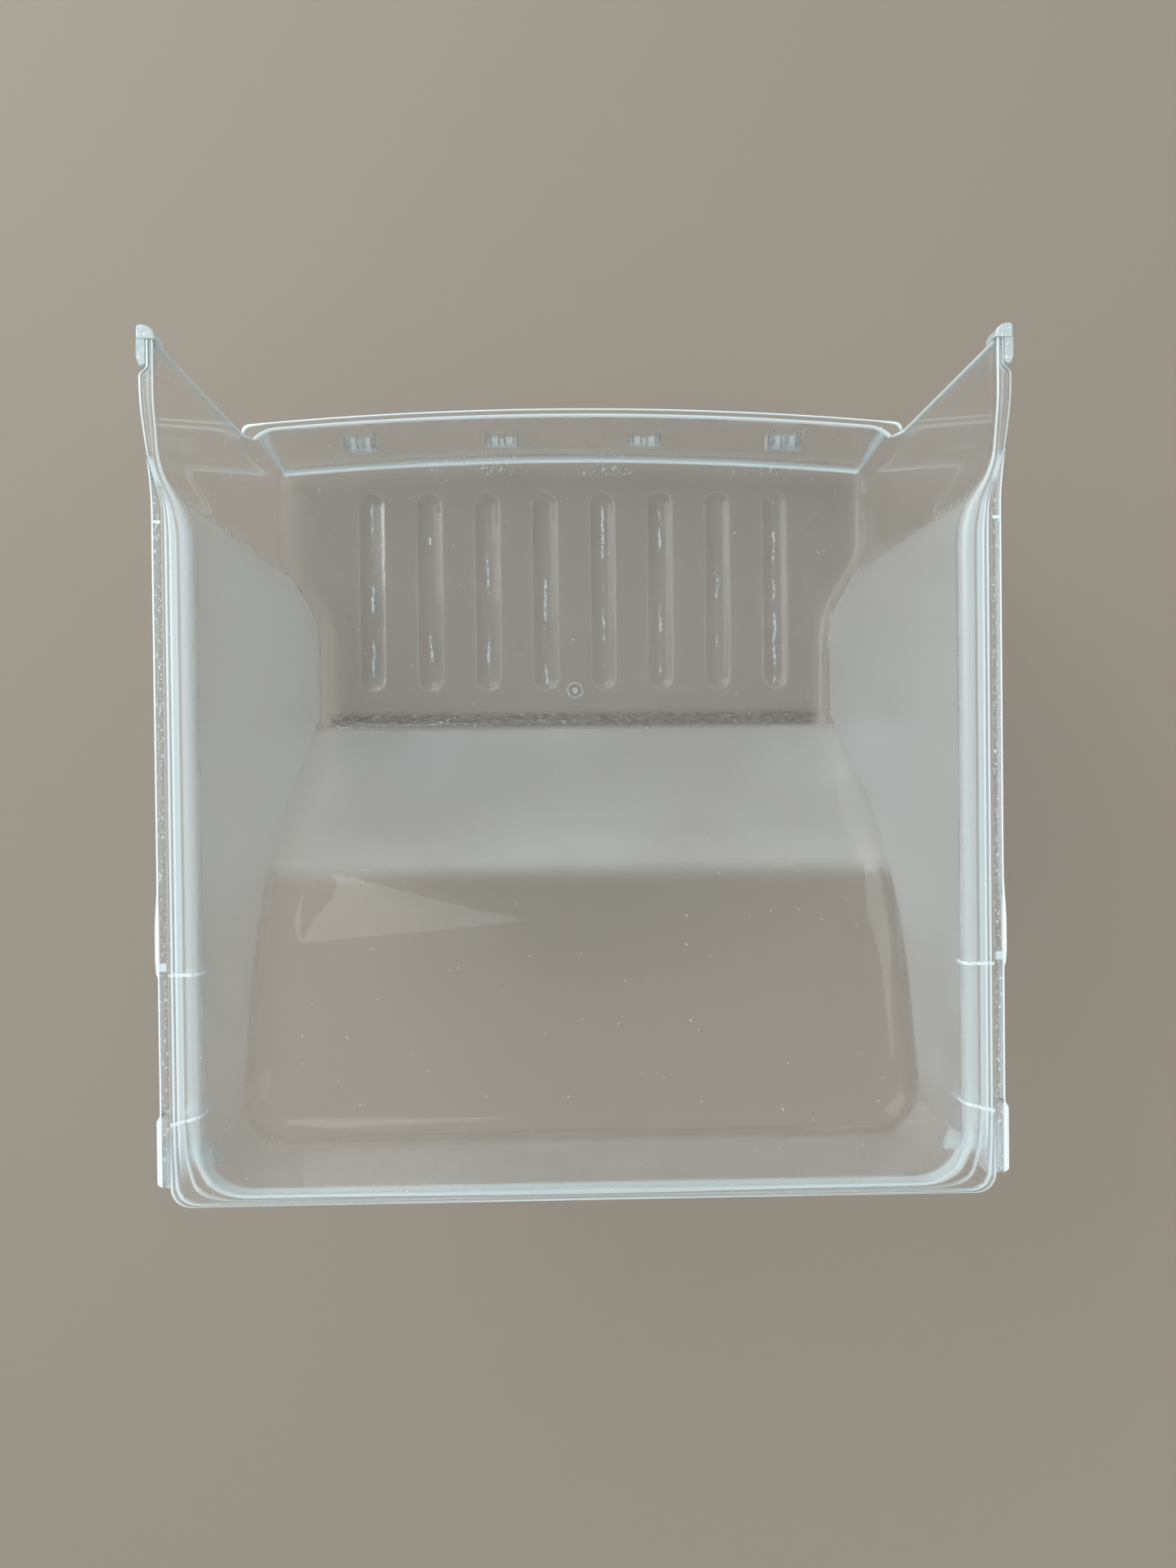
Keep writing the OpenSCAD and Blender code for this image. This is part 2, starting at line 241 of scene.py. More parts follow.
floor_y = graded([LIP_Y, -235, -228, -218, -202.5, -175, -125, -70, -54.5, -37, SLOPE_FOOT_Y],
                 [6, 5, 3, 11, 4, 11, 4, 11, 4, 8])
slope_share = graded([0, 0.035, 0.12, 0.86, 1.0], [5, 3, 10, 10])
slope_y = mix(SLOPE_FOOT_Y, RIDGE_Y, slope_share[1:])
back_share = graded([0, 0.12, 0.84, 1.0], [9, 11, 13])
back_y = mix(RIDGE_Y, REAR_FOOT_Y, back_share[1:])
row_y = np.concatenate([floor_y, slope_y, back_y])      # every row of the floors


def column_x(width):
    """X of every column, for each given half width."""
    width = np.asarray(width)[..., None]
    out = INNER_X + (width - INNER_X) * side_share
    middle = np.broadcast_to(fixed_x, width.shape[:-1] + fixed_x.shape)
    return np.concatenate([-out[..., ::-1], middle, out], axis=-1)


def behind_step(y):
    """0 at the wings, 1 behind the step in the sides."""
    return smooth((y - LEDGE_STEP_Y) / LEDGE_STEP_LENGTH)


def near_lip(y):
    return 1 - smooth((y - LIP_Y) / 22)


def near_rear(y):
    return smooth((y - REAR_TURN_Y) / (REAR_FOOT_Y - REAR_TURN_Y))


def flare(y):
    """Radius of the bend from a wall's top to the ledge."""
    return mix(mix(1.6, 5.0, smooth((y + 190) / 60)), 2.5, smooth((y - 195) / 40))


def top_z(y):
    return rail_z(y) - flare(y)


WING_TOP = top_z(np.array(LIP_Y))
LIP_END_Z = FLOOR_Z + wall_share[FOOT_ROWS] * (WING_TOP - FLOOR_Z)


def floor_sheet():
    z = floor_profile(row_y)
    x = column_x(half_width(row_y, z))
    sag = lip_y(x, FLOOR_Z) - LIP_Y
    y = row_y[:, None] + sag * near_lip(row_y)[:, None]
    return np.stack([x, y, np.broadcast_to(z[:, None], x.shape)], axis=-1)


def lip_sheet():
    x = column_x(np.array(FRONT_HALF_W))[None, :]
    share = (wall_share[:FOOT_ROWS + 1] / wall_share[FOOT_ROWS])[::-1, None]
    z = np.broadcast_to(FLOOR_Z + share * (LIP_END_Z - FLOOR_Z), (len(share), x.size))
    x = np.broadcast_to(x, z.shape)
    return np.stack([x, lip_y(x, z), z], axis=-1)


def back_sheet():
    z = REAR_FOOT_Z + wall_share * (top_z(np.array(REAR_FOOT_Y)) - REAR_FOOT_Z)
    x = column_x(half_width(np.array(REAR_FOOT_Y), z))
    y = np.broadcast_to(rear_y(z)[:, None], x.shape)
    return np.stack([x, y, np.broadcast_to(z[:, None], x.shape)], axis=-1)


def front_edge_y(z):
    """Y of the front end of a side wall: the lip's end, then the wing's free edge."""
    lip = lip_y(FRONT_HALF_W, z)
    return np.where(z <= LIP_END_Z + 0.01, lip,
                    mix(lip_y(FRONT_HALF_W, LIP_END_Z), WING_FRONT_Y,
                        smooth((z - LIP_END_Z) / 16)))


def side_sheet(side):
    """Rows run up the wall, columns run from the lip to the rear corner."""
    bottom, top = floor_profile(row_y)[None, :], top_z(row_y)[None, :]
    z = bottom + wall_share[:, None] * (top - bottom)
    lip_shift = (front_edge_y(z) - LIP_Y) * near_lip(row_y)[None, :]
    rear_shift = (rear_y(z) - REAR_FOOT_Y) * near_rear(row_y)[None, :]
    y = row_y[None, :] + lip_shift + rear_shift
    y[0] = row_y + (lip_y(FRONT_HALF_W, FLOOR_Z) - LIP_Y) * near_lip(row_y)
    y[:FOOT_ROWS + 1, 0] = lip_y(FRONT_HALF_W, z[:FOOT_ROWS + 1, 0])
    return np.stack([side * half_width(np.broadcast_to(row_y, z.shape), z), y, z], axis=-1)


def press_ribs(p):
    """Sinks the long ribs into the front floor."""
    x, y = p[..., 0], p[..., 1]
    off = np.min(np.abs(x[..., None] - RIB_CENTRES), axis=-1)
    end = np.maximum(RIB_FRONT_Y + RIB_HALF_W - y, y - RIB_BACK_Y + RIB_HALF_W)
    reach = np.hypot(off, np.maximum(end, 0))
    depth = smooth((RIB_HALF_W - reach) / (RIB_HALF_W - RIB_FLAT_HALF_W))
    p = p.copy()
    p[..., 2] -= RIB_DEPTH * depth
    return p


def outline_x(y):
    """Outer edge of the ledge: beside the hook, then the rail's edge, then the rim's."""
    rail = mix(WING_RAIL_X, RAIL_X, smooth((y + 210) / 50))
    rail = mix(HOOK_INNER_X - 0.4, rail, smooth((y - HOOK_END_Y) / 5))
    return mix(rail, SKIRT_X, behind_step(y))


# Painted bright bands along the ledge, standing in for light and highlights: share of its width,
# brightness at the wings, behind the step, at the back
LEDGE_PAINTED_GLOW = [
    (0.04, 0.16, 0.42, 0.45), (0.09, 0.10, 0.42, 0.20), (0.19, 0.14, 0.40, 0.10),
    (0.24, 0.22, 0.26, 0.10), (0.33, 0.24, 0.26, 0.22), (0.37, 0.55, 0.58, 0.60),
    (0.42, 0.30, 0.48, 0.20), (0.58, 0.06, 0.48, 0.12), (0.64, 0.04, 0.78, 0.14),
    (0.69, 0.03, 0.78, 0.14), (0.73, 0.03, 0.16, 0.12), (0.80, 0.03, 0.16, 0.14),
    (0.84, 0.03, 0.80, 0.80), (0.90, 0.03, 0.80, 0.25), (0.94, 0.10, 0.24, 0.20),
    (1.00, 0.55, 0.24, 0.60)]


def onto_rim_outline(q):
    """Rounds the rear corners of the rim's outline."""
    side = np.sign(q[:, 0])
    a = SKIRT_X - np.abs(q[:, 0])
    b = RIM_BACK_Y - q[:, 1]
    corner = (a < RIM_CORNER_R) & (b < RIM_CORNER_R) & (q[:, 1] > 0)
    u, v = RIM_CORNER_R - a, RIM_CORNER_R - b
    length = np.maximum(np.hypot(u, v), 1e-6)
    u, v = u / length * RIM_CORNER_R, v / length * RIM_CORNER_R
    out = q.copy()
    out[corner, 0] = (side * (SKIRT_X - RIM_CORNER_R + u))[corner]
    out[corner, 1] = (RIM_BACK_Y - RIM_CORNER_R + v)[corner]
    return out


def rim_rows(edge, sharp):
    """Ledge and skirt outside the walls' top edge, with painted bright lines along its rows; sharp is
    that edge before its rounding.
    """
    on_back = np.abs(sharp[:, 1] - sharp[:, 1].max()) < 0.01
    widest = np.abs(sharp[on_back, 0]).max()
    x_out = np.where(on_back, sharp[:, 0] * SKIRT_X / widest,
                     np.sign(sharp[:, 0]) * outline_x(sharp[:, 1]))
    stretch = RIM_BACK_Y - sharp[:, 1].max()
    turned = (sharp[:, 1] - REAR_TURN_Y) / (sharp[:, 1].max() - REAR_TURN_Y)
    y_out = sharp[:, 1] + stretch * smooth(turned)
    outer = onto_rim_outline(np.stack([x_out, y_out], axis=-1))
    reach = outer - edge[:, :2]
    length = np.hypot(reach[:, 0], reach[:, 1])
    way = reach / length[:, None]
    bend = flare(sharp[:, 1])
    behind = behind_step(sharp[:, 1])
    at_back = smooth((sharp[:, 1] - 205) / 30)
    # painted highlight on the web where the ledge narrows
    web = 1 - smooth((np.abs(sharp[:, 1] + 161) - 3) / 7)   # bright web where the ledge narrows
    skirt = mix(6.0, 8.0, behind)
    rows, painted_glows = [edge], [mix(0.04, 0.42, behind)]

    def add(out, drop, wing_glow, side_glow, back_glow, web_glow=0.0):
        rows.append(np.column_stack([edge[:, :2] + way * np.reshape(out, (-1, 1)),
                                     edge[:, 2] + bend - drop]))
        painted_glow = mix(mix(wing_glow, side_glow, behind), back_glow, at_back)
        painted_glows.append(np.maximum(painted_glow, web_glow * web))

    # painted brightness on each row of the bend, the ledge and the skirt
    for turn, wing_glow in zip(np.linspace(15, 90, 6), (0.04, 0.04, 0.08, 0.55, 0.8, 0.7)):
        a = np.radians(turn)
        add(bend * (1 - np.cos(a)), bend * (1 - np.sin(a)), wing_glow, 0.42, 0.45)
    for share, *painted_glow in LEDGE_PAINTED_GLOW:
        add(mix(bend, length - LEDGE_EDGE_R, share), 0 * bend, *painted_glow, 0.75 * (share > 0.5))
    for a, *painted_glow in ((30, 0.9, 0.40, 1.0), (60, 0.9, 0.35, 1.0), (90, 0.8, 0.2, 0.6)):
        a = math.radians(a)
        add(length - LEDGE_EDGE_R * (1 - math.sin(a)), LEDGE_EDGE_R * (1 - math.cos(a)), *painted_glow)
    for share in (0.15, 0.6, 1.0):
        add(length, mix(LEDGE_EDGE_R, skirt, share), 0.15, 0.12, 0.12)
    return np.stack(rows), np.stack(painted_glows)


def lip_flange_rows(edge, sharp_x):
    """Flange that stands out forwards along the top of the lip, with small round ends and painted bright
    lines along its rows.
    """
    end_r = 5.0
    x = sharp_x * LIP_FLANGE_HALF_W / FRONT_HALF_W
    y = lip_y(x, LIP_Z) - LIP_FLANGE_W
    past = np.maximum(np.abs(x) - (LIP_FLANGE_HALF_W - end_r), 0)
    y = y + end_r - np.sqrt(np.maximum(end_r ** 2 - past ** 2, 0.0))
    reach = np.column_stack([x, y]) - edge[:, :2]
    length = np.hypot(reach[:, 0], reach[:, 1])
    way = reach / length[:, None]
    rows, painted_glows = [edge], [0 * x]

    def add(out, up, painted_glow):
        rows.append(np.column_stack([edge[:, :2] + way * np.reshape(out, (-1, 1)), edge[:, 2] + up]))
        painted_glows.append(0 * x + painted_glow)

    # painted brightness: the bend and the outer edges of the flange are painted bright as if catching
    # light
    for a in np.radians(np.linspace(18, 90, 5)):
        add(0 * x + LIP_BEND_R * (1 - np.cos(a)), LIP_BEND_R * np.sin(a), 0.75)
    for share, painted_glow in ((0.04, 0.55), (0.12, 0.05), (0.5, 0.04), (0.76, 0.04), (0.84, 0.9), (1.0, 0.95)):
        add(mix(LIP_BEND_R, length, share), LIP_BEND_R, painted_glow)
    return np.stack(rows), np.stack(painted_glows)


def frost_of(p):
    """Share of etched texture: most on the walls behind the step, little on the rear floor."""
    x, y, z = p[..., 0], p[..., 1], p[..., 2]
    floors = mix(mix(0.30, 0.85, smooth((y - SLOPE_FOOT_Y + 2) / 8)), 0.10,
                 smooth((y - RIDGE_Y + 14) / 18))
    at_back = smooth((y - rear_y(z) + 60) / 60)
    walls = mix(mix(0.30, 1.0, smooth((y + 152) / 10)), 0.55, at_back)
    band = mix(3.0, 13.0, smooth((y - rear_y(z) + 22) / 12))      # polished band under the rim
    walls = mix(0.3, walls, smooth((top_z(y) - z - band + 2) / 2.5))
    height = floor_distance(y, z) / foot_radius(y)
    return mix(floors, walls, smooth((height - 0.75) / 0.35))


def line_at(value, centre, half_width_of_line):
    return 1 - smooth(np.abs(value - centre) / half_width_of_line)


def painted_glow_of(p):
    """Painted light: bright lines standing in for light that leaves the plastic and for highlights in
    its fillets, at the foot, corners and edges of the walls.
    """
    x, y, z = p[..., 0], p[..., 1], p[..., 2]
    off_foot = y - lip_y(np.clip(x, -FRONT_HALF_W, FRONT_HALF_W), FLOOR_Z)
    # painted highlight along the fillet at the foot of the lip
    foot = 0.95 * line_at(off_foot, 1.7, 2.3) * (z < FLOOR_Z + 4.5)

    off_lip = lip_radius(z) - np.hypot(x, y - LIP_Y - LIP_R)
    off_wing = half_width(y, z) - np.abs(x)
    r = np.maximum(front_corner_radius(z), 0.5)
    turn = np.degrees(np.arctan2(r - off_wing, r - off_lip))    # 0 at the lip, 90 at the wing
    in_corner = (off_lip < r) & (off_wing < r) & (z < LIP_Z + 4) & (z > FLOOR_Z + 2)
    # painted reflection in the fillet between the lip and a wing
    corner = 0.95 * in_corner * line_at(turn, 30, 15)

    # painted bright lines under the lip's flange, along each wing's free edge and at the step's edge,
    # and a painted bright band just under the top of the walls behind the step
    under_flange = 0.45 * smooth((z - LIP_Z + 12) / 10) * (off_lip < 1.0) * (np.abs(x) < 226)
    free_edge = 0.95 * line_at(y, WING_FRONT_Y, 3.6) * (z > LIP_Z)
    step_edge = 0.22 * line_at(y, -150, 2.5) * (z > FLOOR_Z + 12) * (off_wing < 1.0)
    band_h = mix(3.0, 12.5, smooth((y - rear_y(z) + 22) / 12))
    band = mix(0.45, 0.5, band_h / 12) * smooth((z - top_z(y) + band_h) / 1.2) * (y > -150)
    return np.maximum.reduce([foot, corner, under_flange, free_edge, step_edge, band])


# ---------------------------------------------------------------- meshes
def grid_faces(rows, columns, start, flip=False):
    i = np.arange(rows - 1)[:, None] * columns + np.arange(columns - 1)[None, :] + start
    quads = np.stack([i, i + 1, i + columns + 1, i + columns], axis=-1).reshape(-1, 4)
    return quads[:, ::-1] if flip else quads


def mesh_from_grids(name, grids, flips, looks):
    """One smooth mesh object from grids of points in millimetres, welded where they meet.

    looks holds, for each attribute's name, one value for each point of each grid."""
    points, faces, start = [], [], 0
    for grid, flip in zip(grids, flips):
        rows, columns = grid.shape[:2]
        points.append(grid.reshape(-1, 3))
        faces.append(grid_faces(rows, columns, start, flip))
        start += rows * columns
    mesh = bpy.data.meshes.new(name)
    mesh.from_pydata((np.concatenate(points) * MM).tolist(), [],
                     np.concatenate(faces).tolist())
    for look, values in looks.items():
        layer = mesh.attributes.new(look, "FLOAT", "POINT")
        flat = np.concatenate([np.ravel(v) for v in values]).astype(np.float32)
        layer.data.foreach_set("value", flat)
    shape = bmesh.new()
    shape.from_mesh(mesh)
    bmesh.ops.remove_doubles(shape, verts=shape.verts, dist=0.03 * MM)
    bmesh.ops.dissolve_degenerate(shape, edges=shape.edges, dist=0.01 * MM)
    for face in shape.faces:
        face.smooth = True
    shape.to_mesh(mesh)
    shape.free()
    piece = bpy.data.objects.new(name, mesh)
    bpy.context.scene.collection.objects.link(piece)
    return piece


def make_moulding():
    sharp_sides = {side: side_sheet(side) for side in (1, -1)}
    sharp_back, sharp_lip = back_sheet(), lip_sheet()
    floors = press_ribs(onto_surface(floor_sheet()))
    lip = onto_surface(sharp_lip)
    back = onto_surface(sharp_back)
    sides = {side: onto_surface(sheet) for side, sheet in sharp_sides.items()}

    def round_the_top(side_rows, back_row):
        return np.concatenate([side_rows[1], back_row[::-1][1:-1], side_rows[-1][::-1]])

    edge = round_the_top({s: sides[s][-1] for s in sides}, back[-1])
    sharp = round_the_top({s: sharp_sides[s][-1] for s in sides}, sharp_back[-1])
    rim, rim_painted_glow = rim_rows(edge, sharp)
    flange, flange_painted_glow = lip_flange_rows(lip[0], sharp_lip[0, :, 0])
    sheets = [floors, lip, back, sides[1], sides[-1]]
    # The second value kept on the mesh is painted light: bright lines standing in for light leaving the
    # plastic and for highlights in its fillets.
    looks = {"frost": [frost_of(p) for p in sheets] + [0 * rim_painted_glow, 0 * flange_painted_glow],
             "painted_glow": [painted_glow_of(p) for p in sheets] + [rim_painted_glow, flange_painted_glow]}
    piece = mesh_from_grids("moulding", sheets + [rim, flange],
                            [False, False, False, True, False, True, True], looks)
    thick = piece.modifiers.new("wall", "SOLIDIFY")
    thick.thickness = WALL * MM
    thick.offset = -1
    thick.use_even_offset = True
    thick.thickness_clamp = 0
    return piece


moulding = make_moulding()


def sweep(name, sections):
    """Closed bar through sections of the same number of points, with capped ends."""
    sections = np.asarray(sections, float)
    around = sections.shape[1]
    shape = bmesh.new()
    rings = [[shape.verts.new(p * MM) for p in ring] for ring in sections]
    for a, b in zip(rings, rings[1:]):
        for k in range(around):
            shape.faces.new((a[k], a[(k + 1) % around], b[(k + 1) % around], b[k]))
    shape.faces.new(rings[0][::-1])
    shape.faces.new(rings[-1])
    bmesh.ops.recalc_face_normals(shape, faces=shape.faces)
    mesh = bpy.data.meshes.new(name)
    shape.to_mesh(mesh)
    shape.free()
    piece = bpy.data.objects.new(name, mesh)
    bpy.context.scene.collection.objects.link(piece)
    return piece


def soften(piece, width, segments=2):
    """Rounds the sharp edges and shades the rest smooth."""
    bevel = piece.modifiers.new("round", "BEVEL")
    bevel.width = width * MM
    bevel.segments = segments
    bevel.limit_method = "ANGLE"
    bevel.angle_limit = math.radians(35)
    bevel.harden_normals = True
    for face in piece.data.polygons:
        face.use_smooth = True
    return piece


def make_rail_strip(side, name):
    """Flange outside the rim with a folded outer edge, and the cover over the roller."""
    ys = graded([-170, -136, 72, 80, 118, 122, COVER_Y, COVER_Y + 4, STRIP_END_Y - 3, STRIP_END_Y],
                [12, 20, 4, 6, 3, 10, 4, 8, 4])
    sections = []
    for y in ys:
        bulge = 1.4 * smooth((y - 66) / 30) * (1 - smooth((y - 116) / 5))
        cover = 1.9 * smooth((y - COVER_Y) / 4)
        end = 3.0 * smooth((y - STRIP_END_Y + 3) / 3) ** 2
        outer = RAIL_X + 0.05 + min(bulge + cover, 1.95) - end
        inner = outline_x(y) + 0.12
        drop = mix(6.0, 12.0, smooth((y - COVER_Y) / 4))
        top = rail_z(y)
        plate, fold = 2.2, 1.2
        ring = [(inner, top), (outer, top), (outer, top - drop), (outer - fold, top - drop),
                (outer - fold, top - plate), (inner, top - plate)]
        sections.append([(side * x, y, z) for x, z in ring])
    return soften(sweep(name, sections), 0.45)


def make_tip(side, name):
    """Cap on the front end of a rail: a block with a chamfered inner corner."""
    front, back = TIP_FRONT_Y, WING_FRONT_Y - 0.6
    inner, outer = 229.6, SIDE_REACH_X
    top, bottom = WING_Z, WING_Z - TIP_DEPTH
    outline = [(outer, back), (outer, front + 1.2), (outer - 1.2, front), (inner + 6.5, front),
               (inner + 3.4, front + 1.1), (inner + 1.2, front + 3.4), (inner, back)]
    sections = [[(side * x, y, z) for x, y in outline] for z in (bottom, top - 6, top - 0.9)]
    inset = [(x + 0.9 * (0.5 * (inner + outer) - x) / 5, y + (0.9 if y < back else 0.0))
             for x, y in outline]
    sections.append([(side * x, y, top) for x, y in inset])
    return soften(sweep(name, sections), 0.4)


def make_hook(side, name):
    """Block behind the tip, outside the rail's edge, that ends in a slanted hook."""
    y0, y1 = WING_FRONT_Y - 0.5, HOOK_END_Y
    inner, outer = HOOK_INNER_X, SIDE_REACH_X
    top, bottom = WING_Z - 0.3, WING_Z - TIP_DEPTH
    ring = [(inner, y0), (outer, y0), (outer, y1 - 4.5), (outer - 1.4, y1 - 0.6),
            (outer - 2.2, y1), (inner, y1 - 1.2)]
    sections = [[(side * x, y, z) for x, y in ring] for z in (bottom, top)]
    return soften(sweep(name, sections), 0.3)


SIDES = ((-1, "left"), (1, "right"))
rails = {side: make_rail_strip(side, name + "_rail_strip") for side, name in SIDES}
tips = {side: make_tip(side, name + "_tip_cap") for side, name in SIDES}
hooks = {side: make_hook(side, name + "_tip_hook") for side, name in SIDES}


# ---------------------------------------------------------------- materials
def new_material(name):
    material = bpy.data.materials.new(name)
    material.use_nodes = True
    tree = material.node_tree
    shader = tree.nodes["Principled BSDF"]
    return material, tree, shader


def link_or_set(tree, socket, value):
    if hasattr(value, "links"):
        tree.links.new(value, socket)
    else:
        socket.default_value = value


def math_node(tree, operation, a, b=0.0, c=0.0, clamp=False):
    made = tree.nodes.new("ShaderNodeMath")
    made.operation = operation
    made.use_clamp = clamp
    for socket, value in zip(made.inputs, (a, b, c)):
        link_or_set(tree, socket, value)
    return made.outputs[0]


def ramp_between(tree, value, low, high):
    """0 at low and 1 at high, smoothly; high may be below low.

    For a place on the bin, low and high are metres along X, Y or Z."""
    made = tree.nodes.new("ShaderNodeMapRange")
    made.interpolation_type = "SMOOTHSTEP"
    made.inputs["From Min"].default_value = low
    made.inputs["From Max"].default_value = high
    tree.links.new(value, made.inputs["Value"])
    return made.outputs["Result"]


def noise(tree, place, scale, detail=3.0, stretch=(1, 1, 1), roughness=0.55):
    mapping = tree.nodes.new("ShaderNodeMapping")
    mapping.inputs["Scale"].default_value = stretch
    tree.links.new(place, mapping.inputs["Vector"])
    made = tree.nodes.new("ShaderNodeTexNoise")
    made.inputs["Scale"].default_value = scale
    made.inputs["Detail"].default_value = detail
    made.inputs["Roughness"].default_value = roughness
    tree.links.new(mapping.outputs[0], made.inputs["Vector"])
    return made.outputs["Fac"]


def mix_float(tree, factor, a, b):
    made = tree.nodes.new("ShaderNodeMix")
    made.data_type = "FLOAT"
    for socket, value in zip((made.inputs[0], made.inputs[2], made.inputs[3]), (factor, a, b)):
        link_or_set(tree, socket, value)
    return made.outputs[0]


# pale colour of milky plastic, also the colour of the painted bright lines
PAINTED_GLOW_AND_MILK_COLOUR = (0.86, 0.97, 0.985, 1)
CLEAR_COLOUR = (0.96, 0.985, 0.985, 1)
DIRT_COLOUR = (0.26, 0.23, 0.20, 1)
NYLON_DARK, NYLON_PALE = (0.84, 0.88, 0.90, 1), (0.93, 0.95, 0.96, 1)
FLOOR_COLOUR = (0.295, 0.258, 0.208, 1)
ROOM_DARK, ROOM_BRIGHT = (0.42, 0.42, 0.43, 1), (1.16, 1.21, 1.25, 1)
STYRENE_IOR = 1.57
GUSSET_BARS = ((0.1188, 0.0), (0.2003, 0.25))       # middle of each bar in metres, and its lean
SOFT_EDGE = 0.0004                      # metres; how softly a bright band starts and ends
CLEAR_ALPHA = 0.26                      # the rest of the light passes straight through the thin wall


def attribute(tree, name):
    made = tree.nodes.new("ShaderNodeAttribute")
    made.attribute_name = name
    return made.outputs["Fac"]


def mix_colour(tree, factor, a, b):
    made = tree.nodes.new("ShaderNodeMix")
    made.data_type = "RGBA"
    tree.links.new(factor, made.inputs[0])
    for socket, value in zip((made.inputs[6], made.inputs[7]), (a, b)):
        link_or_set(tree, socket, value)
    return made.outputs[2]


def product(tree, *values):
    out = values[0]
    for value in values[1:]:
        out = math_node(tree, "MULTIPLY", out, value)
    return out


def absolute(tree, value):
    return math_node(tree, "ABSOLUTE", value)


def highest(tree, *values):
    out = values[0]
    for value in values[1:]:
        out = math_node(tree, "MAXIMUM", out, value)
    return out


def place_on_bin(tree):
    """The point in metres in the bin's frame, and its three coordinates."""
    place = tree.nodes.new("ShaderNodeTexCoord").outputs["Object"]
    split = tree.nodes.new("ShaderNodeSeparateXYZ")
    tree.links.new(place, split.inputs[0])
    return place, *split.outputs


def dust(tree, place, scale, size, share):
    """Small round specks, at a share of the cells of a grid that is scale cells to the metre."""
    cells = tree.nodes.new("ShaderNodeTexVoronoi")
    cells.inputs["Scale"].default_value = scale
    tree.links.new(place, cells.inputs["Vector"])
    near = ramp_between(tree, cells.outputs["Distance"], size, size * 0.5)
    tint = tree.nodes.new("ShaderNodeSeparateColor")
    tree.links.new(cells.outputs["Color"], tint.inputs[0])
    return product(tree, near, math_node(tree, "LESS_THAN", tint.outputs[0], share))


def rib_reach(tree, x, y):
    """Distance from the middle line of the nearest rib, round its ends too, and its side offset."""
    column = math_node(tree, "WRAP", x, RIB_PITCH * MM, 0.0)
    aside = math_node(tree, "SUBTRACT", column, RIB_PITCH * MM / 2)
    front = math_node(tree, "SUBTRACT", (RIB_FRONT_Y + RIB_HALF_W) * MM, y)
    back = math_node(tree, "SUBTRACT", y, (RIB_BACK_Y - RIB_HALF_W) * MM)
    beyond = highest(tree, front, back, 0.0)
    square = math_node(tree, "ADD", product(tree, aside, aside), product(tree, beyond, beyond))
    return math_node(tree, "SQRT", square), aside


def add_painted_rib_outline(tree, x, y, z, milk):
    """Painted pale outline standing in for the highlights along each rib's rim, the same all the way
    round each rib.
    """
    reach, _ = rib_reach(tree, x, y)
    on_floor = product(tree, ramp_between(tree, z, 0.0072, 0.0064),
                       ramp_between(tree, absolute(tree, x), 0.181, 0.179),
                       ramp_between(tree, y, -0.040, -0.045))
    edge = product(tree, ramp_between(tree, reach, 0.0092, 0.0099),
                   ramp_between(tree, reach, 0.0112, 0.0104), on_floor)
    return math_node(tree, "MULTIPLY_ADD", edge, 0.08, milk)


def scuffs(tree, place, x, y, z):
    """Broken white marks along the ribs, and a scraped band in the corner before the slope."""
    _, aside = rib_reach(tree, x, y)
    wander = noise(tree, place, 60.0, 2.0, (0.2, 1, 1))
    shift = math_node(tree, "MULTIPLY_ADD", wander, 0.004, -0.0018)
    off = absolute(tree, math_node(tree, "ADD", aside, shift))
    torn = noise(tree, place, 640.0, 6.0, (1, 0.45, 1), 0.85)
    patchy = noise(tree, place, 30.0, 3.0, (0.5, 1, 1))
    on_rib = product(tree, ramp_between(tree, off, 0.0024, 0.0004),
                     ramp_between(tree, y, -0.214, -0.20), ramp_between(tree, y, -0.060, -0.064),
                     ramp_between(tree, z, 0.0052, 0.0046),
                     ramp_between(tree, absolute(tree, x), 0.176, 0.172))
    rib_marks = product(tree, on_rib, ramp_between(tree, torn, 0.48, 0.53),
                        ramp_between(tree, patchy, 0.44, 0.60))
    fine = noise(tree, place, 700.0, 5.0, (0.22, 1, 1), 0.75)
    band = product(tree, ramp_between(tree, y, -0.043, -0.037), ramp_between(tree, y, -0.0275, -0.030),
                   ramp_between(tree, absolute(tree, x), 0.198, 0.190))
    band_marks = product(tree, band, ramp_between(tree, fine, 0.60, 0.68),
                         ramp_between(tree, patchy, 0.40, 0.62))
    scraped = noise(tree, place, 520.0, 4.0, (1, 0.5, 1), 0.7)
    foot = product(tree, ramp_between(tree, y, -0.221, -0.232),
                   ramp_between(tree, z, 0.024, 0.016), ramp_between(tree, scraped, 0.60, 0.66),
                   ramp_between(tree, patchy, 0.46, 0.58))
    rib_marks = math_node(tree, "MULTIPLY", rib_marks, 0.6)
    white = highest(tree, rib_marks, foot, band_marks)
    dark = product(tree, band, ramp_between(tree, fine, 0.62, 0.42))
    return white, dark


def fused_gussets(tree, place, x, y, z):
    """The gussets under the ledge, which show through it as bright ragged bars."""
    aside = absolute(tree, x)
    reach = product(tree, ramp_between(tree, aside, 0.2128, 0.2140),
                    ramp_between(tree, aside, 0.2328, 0.2318), ramp_between(tree, z, 0.268, 0.270))
    ragged = ramp_between(tree, noise(tree, place, 650.0, 4.0, (1, 1, 1), 0.75), 0.30, 0.52)
    bars = []
    for centre, lean in GUSSET_BARS:
        along = math_node(tree, "MULTIPLY_ADD", aside, lean, centre - lean * 0.2225)
        off = absolute(tree, math_node(tree, "SUBTRACT", y, along))
        bars.append(ramp_between(tree, off, 0.0013, 0.0007))
    return product(tree, highest(tree, *bars), reach, ragged)


